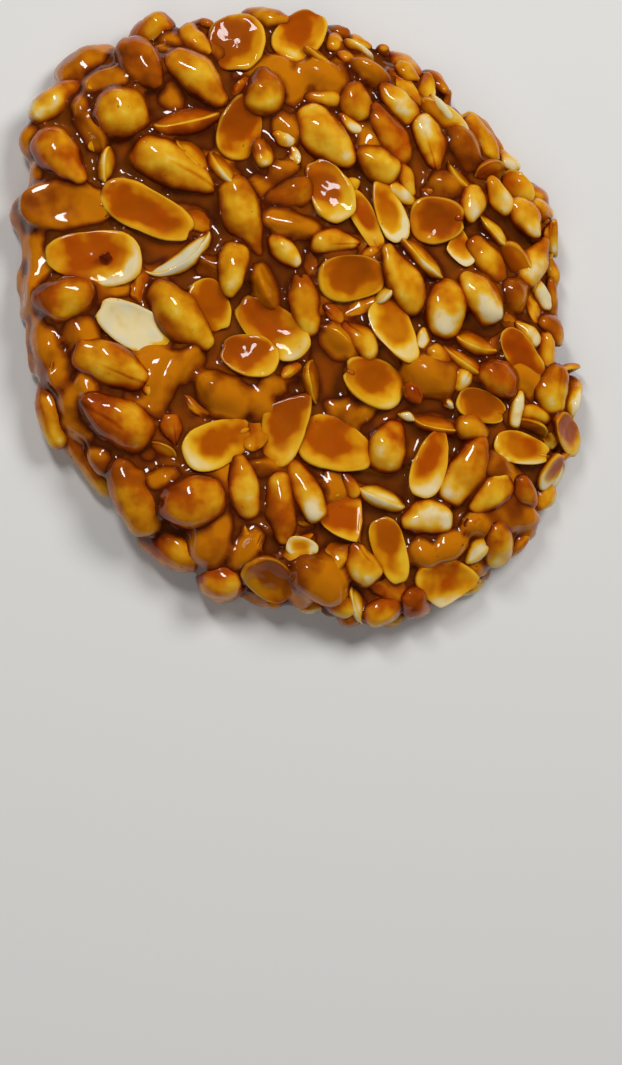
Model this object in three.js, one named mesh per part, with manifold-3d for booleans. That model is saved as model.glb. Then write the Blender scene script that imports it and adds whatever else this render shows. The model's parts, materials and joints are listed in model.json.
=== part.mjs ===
// A round piece of peanut brittle: whole, split and broken peanuts set in hard caramel, flat underneath.
// Millimetres, +Z up, origin in the middle of the flat base.

import * as THREE from 'three';
import { mergeVertices } from 'three/addons/utils/BufferGeometryUtils.js';
import Module from 'manifold-3d';

// Caramel slab
const OUTLINE_RADII = [      // from the middle to the outermost nuts, every 22.5 degrees from +X
  62, 65, 64, 66, 69, 72, 75, 67.5, 61, 61, 60.5, 64, 68, 75, 74, 70.5,
];
const PIECE_CENTRE = [1.1, -0.2];  // middle of the finished piece, brought onto the origin
const NUT_STAND = 4.4;       // how far the nuts stand out of the slab round its edge
const TOP_HEIGHT = 12.6;     // mean height of the caramel on the flat top
const RIM_HEIGHT = 5.2;      // where the rounded shoulder meets the side wall
const SHOULDER_WIDTH = 14;   // mean width of the rounded shoulder
const SHOULDER_SWING = 5;    // the shoulder is this much wider at +X and narrower at -X
const UNDERCUT = 1.2;        // the side wall draws in by this much at the base
const SWELL = 0.7;           // height of the slow waves in the top
const WAVE_LENGTHS = [19, 23, 13];  // of those along X, along Y and slantwise, for each radian
const SLAB_SIDES = 36;
const SLAB_RINGS = 9;

// Nuts
const THICKNESS = { whole: 0.88, half: 0.44 };  // as a share of the width
const EDGE_NUT_WIDTH = 8;    // a half nut on its edge reaches this deep, and shows its thickness
const EDGE_NUT_ROLL = 1.2;   // radians from lying flat
const RISE = {               // least and most height of a nut's middle above the caramel
  whole: [0.4, 1.8], half: [1.6, 3.2], edge: [0.4, 1.8],
};
const LEAN = 0.2;            // largest tilt of a nut, radians
const SUNK_SHARE = 1.06;     // a nut is this much larger than what shows of it
const BEAD_SHARE = 0.46;     // radius of the clearance beads as a share of a nut's width
const TURNS = [-2.4, 0.8];   // the nuts between the placed ones lie mostly from upper left to lower right
const RANDOM_SEED = 20821;

// Joining
const FINEST_DETAIL = 0.2;   // slivers smaller than this are closed up after the join
const DROP_RADIUS = 0.7;     // caramel drops that fill the places where two nuts only just touch

// The nuts that show best, the largest first: kind, x, y, length, width, turn in degrees.
const PLACED_NUTS = [
  ['half', -45.5, 10, 20.5, 12, -3],
  ['half', -34, 20.5, 20.5, 9.5, -25],
  ['whole', -27.5, 30, 20, 9.5, -28],
  ['whole', -26.5, -3, 19, 10, -45],
  ['half', -51.5, 21.5, 18.5, 9.5, -3],
  ['whole', -12.5, 19.5, 18, 9.5, -65],
  ['whole', -35.5, -41.5, 18, 9.5, -62],
  ['half', -3.5, -26.5, 18, 9.5, 76],
  ['whole', -56, -23, 17.5, 7.5, -60],
  ['half', -6, -5, 17.5, 10, -38],
  ['half', -36, -5.5, 17.5, 9.5, -25],
  ['whole', -41.5, -14, 17.5, 9.5, -22],
  ['whole', 5.5, 38, 17, 10, -52],
  ['whole', -40, -26, 17, 10, -35],
  ['whole', -45.5, -34.5, 17, 6.5, -64],
  ['half', 8, -30.5, 16.5, 11.5, -22],
  ['whole', 37.5, -36, 16.5, 9, 60],
  ['whole', 23, 6.5, 16.5, 8, -62],
  ['whole', -22.5, 51, 16.5, 8.5, -42],
  ['edge', -27, 12, 16.5, 4, 35],
  ['half', -18, -31, 16, 10, 25],
  ['whole', -28.5, -55.5, 16, 10, -5],
  ['whole', -52, 32, 15.5, 10, -50],
  ['whole', -4, -45, 15.5, 7.5, -86],
  ['whole', 1.5, -41, 15, 7.5, -65],
  ['half', 21, -5, 15, 8.5, -58],
  ['half', 29, -34.5, 15, 7.5, 72],
  ['whole', -35, 53, 15, 9, -60],
  ['edge', -25.5, 43.5, 15, 5.5, 15],
  ['whole', 20.5, 39.5, 15, 6.5, -60],
  ['half', 6.5, 26, 14.5, 9, -62],
  ['whole', 32.5, 0.5, 14.5, 10, 80],
  ['whole', -52, 45.5, 14.5, 7.5, 42],
  ['whole', -48, 56, 14.5, 10, 35],
  ['whole', -33, 61.5, 14.5, 8.5, -8],
  ['half', 20, -53.5, 14.5, 7.5, -72],
  ['half', 49.5, -10, 14.5, 6.5, -52],
  ['half', -13, 40, 14, 9.5, 75],
  ['half', 16.5, -16.5, 14, 10, -22],
  ['half', 11.5, 6.5, 14, 10, 5],
  ['half', 20, 21.5, 14, 6.5, -70],
  ['half', 0.5, 61.5, 14, 10, 55],
  ['whole', -12.5, -40, 14, 7.5, -80],
  ['whole', 40.5, 3, 14, 8.5, -55],
  ['half', 33, -60, 14, 11, -30],
  ['edge', 26, 36.5, 14, 4.5, -65],
  ['whole', -51.5, 0.5, 13.5, 10, 0],
  ['whole', -23.5, -43.5, 13.5, 11.5, 5],
  ['whole', -16, -60, 13.5, 10.5, 85],
  ['whole', 29.5, 37.5, 13.5, 6.5, -68],
  ['half', 14.5, 19.5, 13.5, 5, -62],
  ['half', -14, 59, 13, 12.5, 90],
  ['whole', -40, 42.5, 13, 12, 20],
  ['whole', 1, 0, 13, 6.5, -80],
  ['half', -6, -59, 13, 10, -50],
  ['whole', 42, 11.5, 13, 6.5, -52],
  ['edge', 32, 42.5, 13, 4, -42],
  ['whole', -3, 24.5, 12.5, 7.5, 20],
  ['whole', -15, 8, 12.5, 7.5, 80],
  ['half', -11, -11, 12.5, 9.5, -15],
  ['half', 49.5, -30.5, 12.5, 7, -12],
  ['whole', -30, -17.5, 12.5, 5.5, 68],
  ['edge', 28.5, 12.5, 12.5, 4, -40],
  ['edge', 48.5, 9.5, 12.5, 4, -52],
  ['half', -19.5, 0, 12, 8, -65],
  ['whole', 20, -30.5, 12, 9, 75],
  ['half', 10, -46, 12, 10, -25],
  ['half', 59.5, -26, 12, 6.5, -40],
  ['whole', 17, 32.5, 12, 7.5, -30],
  ['whole', 53, 12, 12, 6.5, 65],
  ['whole', 41.5, 40, 12, 6, -50],
  ['half', 30.5, 20, 11.5, 10, 0],
  ['whole', 28, -46, 11.5, 8.5, 10],
  ['whole', 42.5, -41, 11.5, 7, 40],
  ['whole', 8, 14.5, 11.5, 6.5, 5],
  ['whole', 51, 21.5, 10.5, 6.5, -58],
  ['whole', 22, 46.5, 11.5, 7, -48],
  ['edge', 19, -40, 11.5, 4.5, -25],
  ['half', 40.5, -21.5, 11, 7, -20],
  ['edge', -22, 34, 11, 4, -42],
  ['edge', 37.5, -10, 11, 3.5, -33],
  ['whole', 13.5, -6.5, 10.5, 6.5, -42],
  ['whole', 13.5, -56.5, 10.5, 7.5, -55],
  ['whole', -3.5, 12.5, 10, 6, -45],
  ['whole', 32, 53.5, 10, 6.5, -80],
  ['whole', -8, 48, 10, 9, 90],
  // The smaller ones between them, the largest first again.
  ['edge', 46, 45.5, 12.5, 4, -50],
  ['whole', 5, -59.5, 12, 9, -35],
  ['whole', 56.5, -16.5, 11, 7.5, 80],
  ['whole', 28.5, -15, 11, 7, -25],
  ['whole', 26.5, -64.5, 11, 7, -45],
  ['whole', -2, 18.5, 11, 5, -15],
  ['edge', 31, -24, 10.5, 3.5, -15],
  ['whole', 44.5, -51, 10.5, 7, -78],
  ['whole', 26, 59.5, 10, 6, -55],
  ['whole', 62, -6, 10, 4.5, 88],
  ['edge', 40, -5.5, 10, 4, -18],
  ['whole', 4.5, 52.5, 10, 5.5, -12],
  ['whole', 20, -65.5, 10, 7, 25],
  ['edge', -16, 30.5, 10, 2.6, -50],
  ['edge', 45, 19.5, 9.5, 3, -48],
  ['whole', 44.5, -15.5, 9.5, 8, -40],
  ['whole', 60, 5, 9.5, 5, -58],
  ['whole', 50, -52.5, 9.5, 5.5, 75],
  ['edge', 4.5, -16.5, 9.5, 3.8, -80],
  ['whole', 37.5, 36.5, 9, 5.5, -65],
  ['edge', 37, 31, 9, 3, -45],
  ['whole', 39, 24, 9, 6, 85],
  ['whole', 44.5, 26, 9, 5, -55],
  ['edge', 48.5, 28, 9, 3.5, -55],
  ['whole', 56, 28, 9, 7.5, -60],
  ['half', 36, 14, 9, 5.5, -60],
  ['whole', 57, -3, 9, 5.5, -40],
  ['whole', 50, -40, 9, 5, -60],
  ['whole', 12.5, 46, 9, 7.5, -55],
  ['whole', -22, 67, 9, 5.5, -50],
  ['whole', 63, -30.5, 8.5, 4.5, 20],
  ['whole', 10, 67.5, 8.5, 7, -60],
  ['edge', -41, 30.5, 8.5, 3.6, 80],
  ['whole', 24, 29.5, 8, 4.5, -65],
  ['whole', 59.5, 10, 8, 4.5, -60],
  ['whole', 48.5, -22, 8, 3.6, 80],
  ['whole', 51, -4.5, 8, 5, -48],
  ['whole', 55.5, -40.5, 8, 5.5, 35],
  ['edge', 14.5, 59, 8, 3.2, -32],
  ['whole', 55, 5, 7.5, 3.8, -60],
  ['whole', 38.5, -26.5, 7.5, 6, -20],
  ['whole', 14.5, 65, 7.5, 5, -25],
  ['whole', 9, -64, 7.5, 5.5, -35],
  ['whole', -28, -28, 7.5, 4.5, -80],
  ['whole', 24.5, 54, 7, 4.5, -30],
  ['whole', 36, -15, 7, 6, 60],
  ['whole', 48.5, 3.5, 7, 4.5, -65],
  ['whole', 51.5, -47, 7, 4.5, -25],
  ['edge', 5, 57.5, 7, 2.5, -40],
  ['whole', 20.5, 61.5, 7, 3.8, 62],
  ['whole', -8, 34, 7, 5, -75],
  ['half', 0.5, -53, 7, 4.2, -8],
  ['whole', 13.5, -68, 7, 4.5, -25],
  ['whole', 45.5, 35.5, 6.5, 4, -15],
  ['edge', 43, 31, 6.5, 2.5, 5],
  ['whole', 32.5, 29, 6.5, 4.5, 0],
  ['whole', 31, -11, 6.5, 5, -35],
  ['whole', 33.5, -52, 6.5, 5, 30],
  ['whole', 11, 41.5, 6.5, 3.5, -35],
  ['whole', 3, -65.5, 6.5, 5, -10],
];

// The nuts between them, the largest first: how many places are tried, their lengths, their widths as
// shares of the length, how much of the clearance between nuts is kept, and the kinds to draw from.
const NUT_GRADES = [
  { tries: 900, length: [12, 15], width: [0.52, 0.66], clearance: 0.86, kinds: ['whole', 'half', 'whole'] },
  { tries: 1500, length: [8.5, 11.5], width: [0.5, 0.7], clearance: 0.9, kinds: ['whole', 'edge', 'half'] },
];

// Random numbers, the same on each run
let randomState = RANDOM_SEED;

function draw(low = 0, high = 1) {
  randomState = (randomState * 16807) % 2147483647;
  return low + (high - low) * (randomState / 2147483647);
}

// Slab surface, as a point for each bearing round the middle and each reach along the surface
function outlineRadius(bearing) {
  const count = OUTLINE_RADII.length;
  const place = (bearing / (2 * Math.PI) + 1) * count;
  const first = Math.floor(place);
  const part = place - first;
  const [a, b, c, d] = [-1, 0, 1, 2].map((step) => OUTLINE_RADII[(first + step + count) % count]);
  return b + 0.5 * part * (c - a + part * (2 * a - 5 * b + 4 * c - d + part * (3 * (b - c) + d - a)));
}

function topHeight(x, y) {
  const [alongX, alongY, slantwise] = WAVE_LENGTHS;
  const crossed = Math.sin(x / alongX + 0.7) * Math.cos(y / alongY - 0.5);
  return TOP_HEIGHT + SWELL * (crossed + 0.6 * Math.sin((x + y) / slantwise));
}

function slabSection(bearing) {
  const radius = outlineRadius(bearing) - NUT_STAND;
  const shoulder = SHOULDER_WIDTH + SHOULDER_SWING * Math.cos(bearing);
  const drop = TOP_HEIGHT - RIM_HEIGHT;
  const flat = radius - shoulder;
  const bend = (Math.PI / 2) * Math.sqrt((shoulder * shoulder + drop * drop) / 2);
  return { radius, shoulder, flat, bend, total: flat + bend + RIM_HEIGHT };
}

function slabPoint(bearing, reach) {
  const { radius, shoulder, flat, bend } = slabSection(bearing);
  const tip = (Math.PI / 2) * THREE.MathUtils.clamp((reach - flat) / bend, 0, 1);
  const fall = THREE.MathUtils.clamp((reach - flat - bend) / RIM_HEIGHT, 0, 1);
  const across = reach < flat ? reach : flat + shoulder * Math.sin(tip) - UNDERCUT * fall * fall;
  const x = across * Math.cos(bearing);
  const y = across * Math.sin(bearing);
  const height = RIM_HEIGHT * (1 - fall) + (topHeight(x, y) - RIM_HEIGHT) * Math.cos(tip);
  return new THREE.Vector3(x, y, height);
}

function slabReach(bearing, across) {
  const { shoulder, flat, bend } = slabSection(bearing);
  if (across < flat) return across;
  return flat + (bend * Math.asin(Math.min(1, (across - flat) / shoulder))) / (Math.PI / 2);
}

// Directions at a place on the slab: outwards along the surface, round the piece, and square to it
function slabDirections(bearing, reach) {
  const step = 0.4;
  const outward = slabPoint(bearing, reach + step).sub(slabPoint(bearing, reach - step)).normalize();
  const round = new THREE.Vector3(-Math.sin(bearing), Math.cos(bearing), 0);
  const square = outward.clone().cross(round).normalize();
  return { outward, round, square };
}

function makeSlab() {
  const geometry = new THREE.SphereGeometry(1, SLAB_SIDES, SLAB_RINGS).rotateX(Math.PI / 2);
  const position = geometry.attributes.position;
  const vertex = new THREE.Vector3();
  for (let i = 0; i < position.count; i++) {
    vertex.fromBufferAttribute(position, i);
    const bearing = Math.atan2(vertex.y, vertex.x);
    const ring = Math.round((SLAB_RINGS * Math.acos(THREE.MathUtils.clamp(vertex.z, -1, 1))) / Math.PI);
    const reach = (slabSection(bearing).total * ring) / (SLAB_RINGS - 1);
    if (ring < SLAB_RINGS) vertex.copy(slabPoint(bearing, reach));
    else vertex.set(0, 0, 0);
    position.setXYZ(i, vertex.x, vertex.y, vertex.z);
  }
  return geometry;
}

// Nut shapes, each 1 long, 1 wide and 1 thick
function makeWholeShape() {
  const profile = [[0, -0.5], [0.36, -0.36], [0.5, -0.02], [0.36, 0.34], [0, 0.5]];
  const geometry = new THREE.LatheGeometry(profile.map(([out, along]) => new THREE.Vector2(out, along)), 7);
  return geometry.rotateZ(-Math.PI / 2);
}

function makeHalfShape() {
  const profile = [[0, -1], [0.4, -0.7], [0.5, -0.15], [0.42, 0], [0, -0.16]];
  const geometry = new THREE.LatheGeometry(profile.map(([out, up]) => new THREE.Vector2(out, up)), 7);
  geometry.rotateX(Math.PI / 2);
  const position = geometry.attributes.position;
  for (let i = 0; i < position.count; i++) {
    position.setY(i, position.getY(i) * (1 - 0.5 * position.getX(i)));
  }
  return geometry;
}

const NUT_SHAPES = {
  whole: makeWholeShape(),
  half: makeHalfShape(),
  edge: makeHalfShape(),
};

// Where a nut lies: its kind decides how thick it is, how far it stands out and how it is rolled
function layNut(kind, bearing, reach, shownLength, shownWidth, turn) {
  const length = SUNK_SHARE * shownLength;
  const width = SUNK_SHARE * shownWidth;
  const pitch = draw(-LEAN, LEAN);
  const lean = draw(-LEAN, LEAN);
  const rise = draw(...RISE[kind]);
  const onEdge = kind === 'edge';
  const size = onEdge ? [length, EDGE_NUT_WIDTH, width] : [length, width, THICKNESS[kind] * width];
  const roll = onEdge ? lean - Math.sign(lean) * EDGE_NUT_ROLL : lean;
  const { outward, round, square } = slabDirections(bearing, reach);
  const swing = turn - bearing;
  const along = outward.multiplyScalar(Math.cos(swing)).addScaledVector(round, Math.sin(swing));
  const middle = slabPoint(bearing, reach).addScaledVector(square, rise);
  const tilt = new THREE.Matrix4().makeRotationY(pitch).multiply(new THREE.Matrix4().makeRotationX(roll));
  const placed = new THREE.Matrix4().makeBasis(along, square.clone().cross(along), square);
  placed.multiply(tilt).scale(new THREE.Vector3(...size)).setPosition(middle);
  const bead = BEAD_SHARE * width;
  const beads = [-1, 0, 1].map((step) => middle.clone().addScaledVector(along, step * (length / 2 - bead)));
  return { kind, placed, beads, bead };
}

function hasRoom(nut, others, clearance) {
  return others.every((other) => {
    const gap = clearance * (nut.bead + other.bead);
    return nut.beads.every((bead) => other.beads.every((placed) => bead.distanceTo(placed) > gap));
  });
}

function scatterNuts() {
  const nuts = [];
  for (const [kind, x, y, length, width, turn] of PLACED_NUTS) {
    const bearing = Math.atan2(y, x);
    const reach = slabReach(bearing, Math.hypot(x, y));
    nuts.push(layNut(kind, bearing, reach, length, width, THREE.MathUtils.degToRad(turn)));
  }
  for (const { tries, length, width, clearance, kinds } of NUT_GRADES) {
    for (let i = 0; i < tries; i++) {
      const bearing = draw(-Math.PI, Math.PI);
      const reach = slabSection(bearing).total * Math.sqrt(draw());
      const kind = kinds[Math.floor(draw(0, kinds.length))];
      const long = draw(length[0], length[1]);
      const wide = long * draw(width[0], width[1]);
      const turn = draw(...TURNS);
      const nut = layNut(kind, bearing, reach, long, kind === 'edge' ? wide / 2 : wide, turn);
      if (hasRoom(nut, nuts, clearance)) nuts.push(nut);
    }
  }
  return nuts;
}

// Solids
const wasm = await Module();
wasm.setup();

function solidOf(geometry) {
  geometry.deleteAttribute('normal');
  geometry.deleteAttribute('uv');
  const { index, attributes } = mergeVertices(geometry, 1e-4);
  return new wasm.Manifold(new wasm.Mesh({
    numProp: 3,
    vertProperties: new Float32Array(attributes.position.array),
    triVerts: new Uint32Array(index.array),
  }));
}

function largestBody(solid) {
  return solid.decompose().sort((a, b) => b.volume() - a.volume())[0];
}

// Middles of the edges at which more than two faces meet, where two surfaces only just touch
function pinchedPlaces(solid) {
  const { vertProperties, triVerts } = solid.getMesh();
  const corner = (i) => new THREE.Vector3().fromArray(vertProperties, 3 * i);
  const label = (point) => point.toArray().map((value) => value.toFixed(4)).join();
  const edges = new Map();
  for (let i = 0; i < triVerts.length; i++) {
    const next = i % 3 === 2 ? i - 2 : i + 1;
    const ends = [corner(triVerts[i]), corner(triVerts[next])];
    const name = ends.map(label).sort().join(' ');
    const edge = edges.get(name) ?? { faces: 0, middle: ends[0].lerp(ends[1], 0.5) };
    edge.faces += 1;
    edges.set(name, edge);
  }
  return [...edges.values()].filter(({ faces }) => faces !== 2).map(({ middle }) => middle);
}

function sealPinches(solid) {
  const places = pinchedPlaces(solid);
  if (places.length === 0) return solid;
  const drop = new THREE.OctahedronGeometry(DROP_RADIUS);
  const drops = places.map(({ x, y, z }) => solidOf(drop.clone().translate(x, y, z)));
  return sealPinches(largestBody(wasm.Manifold.union([solid, ...drops])));
}

function makeBrittle() {
  const nuts = scatterNuts().map(({ kind, placed }) => solidOf(NUT_SHAPES[kind].clone().applyMatrix4(placed)));
  const span = 4 * Math.max(...OUTLINE_RADII);
  const below = solidOf(new THREE.BoxGeometry(span, span, span).translate(0, 0, -span / 2));
  const joined = wasm.Manifold.union([solidOf(makeSlab()), ...nuts]).subtract(below);
  const smoothed = largestBody(joined).asOriginal().simplify(FINEST_DETAIL);
  const { vertProperties, triVerts } = sealPinches(smoothed).getMesh();
  const geometry = new THREE.BufferGeometry();
  geometry.setAttribute('position', new THREE.BufferAttribute(vertProperties, 3));
  geometry.setIndex(new THREE.BufferAttribute(triVerts, 1));
  return geometry.toNonIndexed();
}

const caramel = new THREE.MeshStandardMaterial({ color: 0xb4630f, roughness: 0.2, metalness: 0 });
const brittle = new THREE.Mesh(makeBrittle(), caramel);
brittle.name = 'peanut_brittle';
brittle.position.set(-PIECE_CENTRE[0], -PIECE_CENTRE[1], 0);

const group = new THREE.Group();
group.add(brittle);

export default group;
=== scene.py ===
"""A round piece of peanut brittle: whole, split and broken peanuts set in glossy caramel."""

import functools
import json
import math

import bmesh
import bpy
import numpy as np
from bpy.props import FloatProperty, FloatVectorProperty, IntProperty, PointerProperty
from bpy.types import Operator, Panel, PropertyGroup
from mathutils import Matrix, Vector, noise
from mathutils.bvhtree import BVHTree

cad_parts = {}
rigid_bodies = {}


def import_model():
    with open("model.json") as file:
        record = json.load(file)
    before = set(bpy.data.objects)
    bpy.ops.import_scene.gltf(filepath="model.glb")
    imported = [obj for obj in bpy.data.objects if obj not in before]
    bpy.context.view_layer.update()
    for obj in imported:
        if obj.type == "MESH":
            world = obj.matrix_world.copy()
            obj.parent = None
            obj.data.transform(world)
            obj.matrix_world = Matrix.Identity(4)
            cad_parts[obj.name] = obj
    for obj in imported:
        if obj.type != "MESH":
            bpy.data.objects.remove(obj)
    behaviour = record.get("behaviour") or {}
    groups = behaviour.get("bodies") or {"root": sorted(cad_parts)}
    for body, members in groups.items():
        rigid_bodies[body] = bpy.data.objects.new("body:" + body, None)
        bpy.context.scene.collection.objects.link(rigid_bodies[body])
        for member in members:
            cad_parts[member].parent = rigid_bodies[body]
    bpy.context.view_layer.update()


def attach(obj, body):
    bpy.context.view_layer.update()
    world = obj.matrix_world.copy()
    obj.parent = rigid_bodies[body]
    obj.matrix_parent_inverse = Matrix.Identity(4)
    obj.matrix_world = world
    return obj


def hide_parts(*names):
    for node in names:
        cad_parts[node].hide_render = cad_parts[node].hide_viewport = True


bl_info = {
    "name": "Peanut Brittle",
    "version": (1, 0, 0),
    "blender": (4, 5, 0),
    "location": "3D View > Sidebar > Brittle",
    "description": "Builds a round piece of peanut brittle and its studio",
    "category": "Add Mesh",
}

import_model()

MM = 0.001
NODE = "peanut_brittle"

# Slab of caramel, in millimetres: the same rule and the same numbers as the solid
OUTLINE_RADII = (
    62, 65, 64, 66, 69, 72, 75, 67.5, 61, 61, 60.5, 64, 68, 75, 74, 70.5,
)
PIECE_CENTRE = (1.1, -0.2)
NUT_STAND = 4.4
TOP_HEIGHT = 12.6
RIM_HEIGHT = 5.2
SHOULDER_WIDTH = 14
SHOULDER_SWING = 5
UNDERCUT = 1.2
SWELL = 0.7
WAVE_LENGTHS = (19, 23, 13)

# How the nuts lie, in millimetres, radians and shares of a nut's size. RISE is how far the middle of a nut
# lies over the slab's surface.
THICKNESS = {"whole": 0.88, "half": 0.44, "chip": 0.8, "crumb": 0.9}
EDGE_NUT_WIDTH = 8
EDGE_NUT_ROLL = 1.2
RISE = {
    "whole": (0.4, 1.8), "half": (1.6, 3.2), "edge": (0.4, 1.8), "chip": (0.2, 0.7), "crumb": (3, 3.2),
}
LEAN = 0.2
SUNK_SHARE = 1.06
BEAD_SHARE = 0.46
TURNS = (-2.4, 0.8)
RANDOM_SEED = 20821
NEAR_PLACE = 2
SWALLOWED_REACH = 0.56
DEEPER_REACH = 0.6
FACE_REACH = 0.52
FACE_DEPTH = 1.2

# How the nuts look: how many moulds chance picks from, the lower left that painted shade makes darker, the
# share of the nuts under a skin of caramel, the side that a painted glow makes paler, and how small the dents
# are beside the lumps
LOOKS_SEED = 5519
COMMON_MOULDS = 4
USUAL_BEAD = 3.6
SHADE_PLACE = (-60, -70)
SHADE_REACH = 55
SHADE_TONE = 0.55
USUAL_TONE = 1.05
SKINNED_SHARE = 0.5
LESS_SKINNED = 0.008
GLOW_SIDE = (0.2, -0.98)
DENT_SHARE = 0.4

# How the caramel lies, in millimetres and as shares of the height or of the bridged gap
HALF_WIDTH = 60
FILLED = 1.015
LESS_FILLED = 0.04
LESS_BRIDGE = 0.4
RIM_INSET = 0.8
FLAT_BELOW = 0.5
NUT_BASE = 0.3
SKIN_RIPPLE = 9
NOISE_SHIFT = Vector((17.3, 5.1, 9.7))


def read_table(rows):
    """Nuts, one on each line: kind, x, y, length, width and turn in degrees."""
    cells = (row.split() for row in rows.split("\n"))
    return tuple((kind, *(float(number) for number in numbers)) for kind, *numbers in cells)


# The nuts that show best, the largest first, and then the smaller ones between them
PLACED_NUTS = read_table("""\
half -45.5 10 20.5 12 -3
half -34 20.5 20.5 9.5 -25
whole -27.5 30 20 9.5 -28
whole -26.5 -3 19 10 -45
half -51.5 21.5 18.5 9.5 -3
whole -12.5 19.5 18 9.5 -65
whole -35.5 -41.5 18 9.5 -62
half -3.5 -26.5 18 9.5 76
whole -56 -23 17.5 7.5 -60
half -6 -5 17.5 10 -38
half -36 -5.5 17.5 9.5 -25
whole -41.5 -14 17.5 9.5 -22
whole 5.5 38 17 10 -52
whole -40 -26 17 10 -35
whole -45.5 -34.5 17 6.5 -64
half 8 -30.5 16.5 11.5 -22
whole 37.5 -36 16.5 9 60
whole 23 6.5 16.5 8 -62
whole -22.5 51 16.5 8.5 -42
edge -27 12 16.5 4 35
half -18 -31 16 10 25
whole -28.5 -55.5 16 10 -5
whole -52 32 15.5 10 -50
whole -4 -45 15.5 7.5 -86
whole 1.5 -41 15 7.5 -65
half 21 -5 15 8.5 -58
half 29 -34.5 15 7.5 72
whole -35 53 15 9 -60
edge -25.5 43.5 15 5.5 15
whole 20.5 39.5 15 6.5 -60
half 6.5 26 14.5 9 -62
whole 32.5 0.5 14.5 10 80
whole -52 45.5 14.5 7.5 42
whole -48 56 14.5 10 35
whole -33 61.5 14.5 8.5 -8
half 20 -53.5 14.5 7.5 -72
half 49.5 -10 14.5 6.5 -52
half -13 40 14 9.5 75
half 16.5 -16.5 14 10 -22
half 11.5 6.5 14 10 5
half 20 21.5 14 6.5 -70
half 0.5 61.5 14 10 55
whole -12.5 -40 14 7.5 -80
whole 40.5 3 14 8.5 -55
half 33 -60 14 11 -30
edge 26 36.5 14 4.5 -65
whole -51.5 0.5 13.5 10 0
whole -23.5 -43.5 13.5 11.5 5
whole -16 -60 13.5 10.5 85
whole 29.5 37.5 13.5 6.5 -68
half 14.5 19.5 13.5 5 -62
half -14 59 13 12.5 90
whole -40 42.5 13 12 20
whole 1 0 13 6.5 -80
half -6 -59 13 10 -50
whole 42 11.5 13 6.5 -52
edge 32 42.5 13 4 -42
whole -3 24.5 12.5 7.5 20
whole -15 8 12.5 7.5 80
half -11 -11 12.5 9.5 -15
half 49.5 -30.5 12.5 7 -12
whole -30 -17.5 12.5 5.5 68
edge 28.5 12.5 12.5 4 -40
edge 48.5 9.5 12.5 4 -52
half -19.5 0 12 8 -65
whole 20 -30.5 12 9 75
half 10 -46 12 10 -25
half 59.5 -26 12 6.5 -40
whole 17 32.5 12 7.5 -30
whole 53 12 12 6.5 65
whole 41.5 40 12 6 -50
half 30.5 20 11.5 10 0
whole 28 -46 11.5 8.5 10
whole 42.5 -41 11.5 7 40
whole 8 14.5 11.5 6.5 5
whole 51 21.5 10.5 6.5 -58
whole 22 46.5 11.5 7 -48
edge 19 -40 11.5 4.5 -25
half 40.5 -21.5 11 7 -20
edge -22 34 11 4 -42
edge 37.5 -10 11 3.5 -33
whole 13.5 -6.5 10.5 6.5 -42
whole 13.5 -56.5 10.5 7.5 -55
whole -3.5 12.5 10 6 -45
whole 32 53.5 10 6.5 -80
whole -8 48 10 9 90
edge 46 45.5 12.5 4 -50
whole 5 -59.5 12 9 -35
whole 56.5 -16.5 11 7.5 80
whole 28.5 -15 11 7 -25
whole 26.5 -64.5 11 7 -45
whole -2 18.5 11 5 -15
edge 31 -24 10.5 3.5 -15
whole 44.5 -51 10.5 7 -78
whole 26 59.5 10 6 -55
whole 62 -6 10 4.5 88
edge 40 -5.5 10 4 -18
whole 4.5 52.5 10 5.5 -12
whole 20 -65.5 10 7 25
edge -16 30.5 10 2.6 -50
edge 45 19.5 9.5 3 -48
whole 44.5 -15.5 9.5 8 -40
whole 60 5 9.5 5 -58
whole 50 -52.5 9.5 5.5 75
edge 4.5 -16.5 9.5 3.8 -80
whole 37.5 36.5 9 5.5 -65
edge 37 31 9 3 -45
whole 39 24 9 6 85
whole 44.5 26 9 5 -55
edge 48.5 28 9 3.5 -55
whole 56 28 9 7.5 -60
half 36 14 9 5.5 -60
whole 57 -3 9 5.5 -40
whole 50 -40 9 5 -60
whole 12.5 46 9 7.5 -55
whole -22 67 9 5.5 -50
whole 63 -30.5 8.5 4.5 20
whole 10 67.5 8.5 7 -60
edge -41 30.5 8.5 3.6 80
whole 24 29.5 8 4.5 -65
whole 59.5 10 8 4.5 -60
whole 48.5 -22 8 3.6 80
whole 51 -4.5 8 5 -48
whole 55.5 -40.5 8 5.5 35
edge 14.5 59 8 3.2 -32
whole 55 5 7.5 3.8 -60
whole 38.5 -26.5 7.5 6 -20
whole 14.5 65 7.5 5 -25
whole 9 -64 7.5 5.5 -35
whole -28 -28 7.5 4.5 -80
whole 24.5 54 7 4.5 -30
whole 36 -15 7 6 60
whole 48.5 3.5 7 4.5 -65
whole 51.5 -47 7 4.5 -25
edge 5 57.5 7 2.5 -40
whole 20.5 61.5 7 3.8 62
whole -8 34 7 5 -75
half 0.5 -53 7 4.2 -8
whole 13.5 -68 7 4.5 -25
whole 45.5 35.5 6.5 4 -15
edge 43 31 6.5 2.5 5
whole 32.5 29 6.5 4.5 0
whole 31 -11 6.5 5 -35
whole 33.5 -52 6.5 5 30
whole 11 41.5 6.5 3.5 -35
whole 3 -65.5 6.5 5 -10""")

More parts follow.
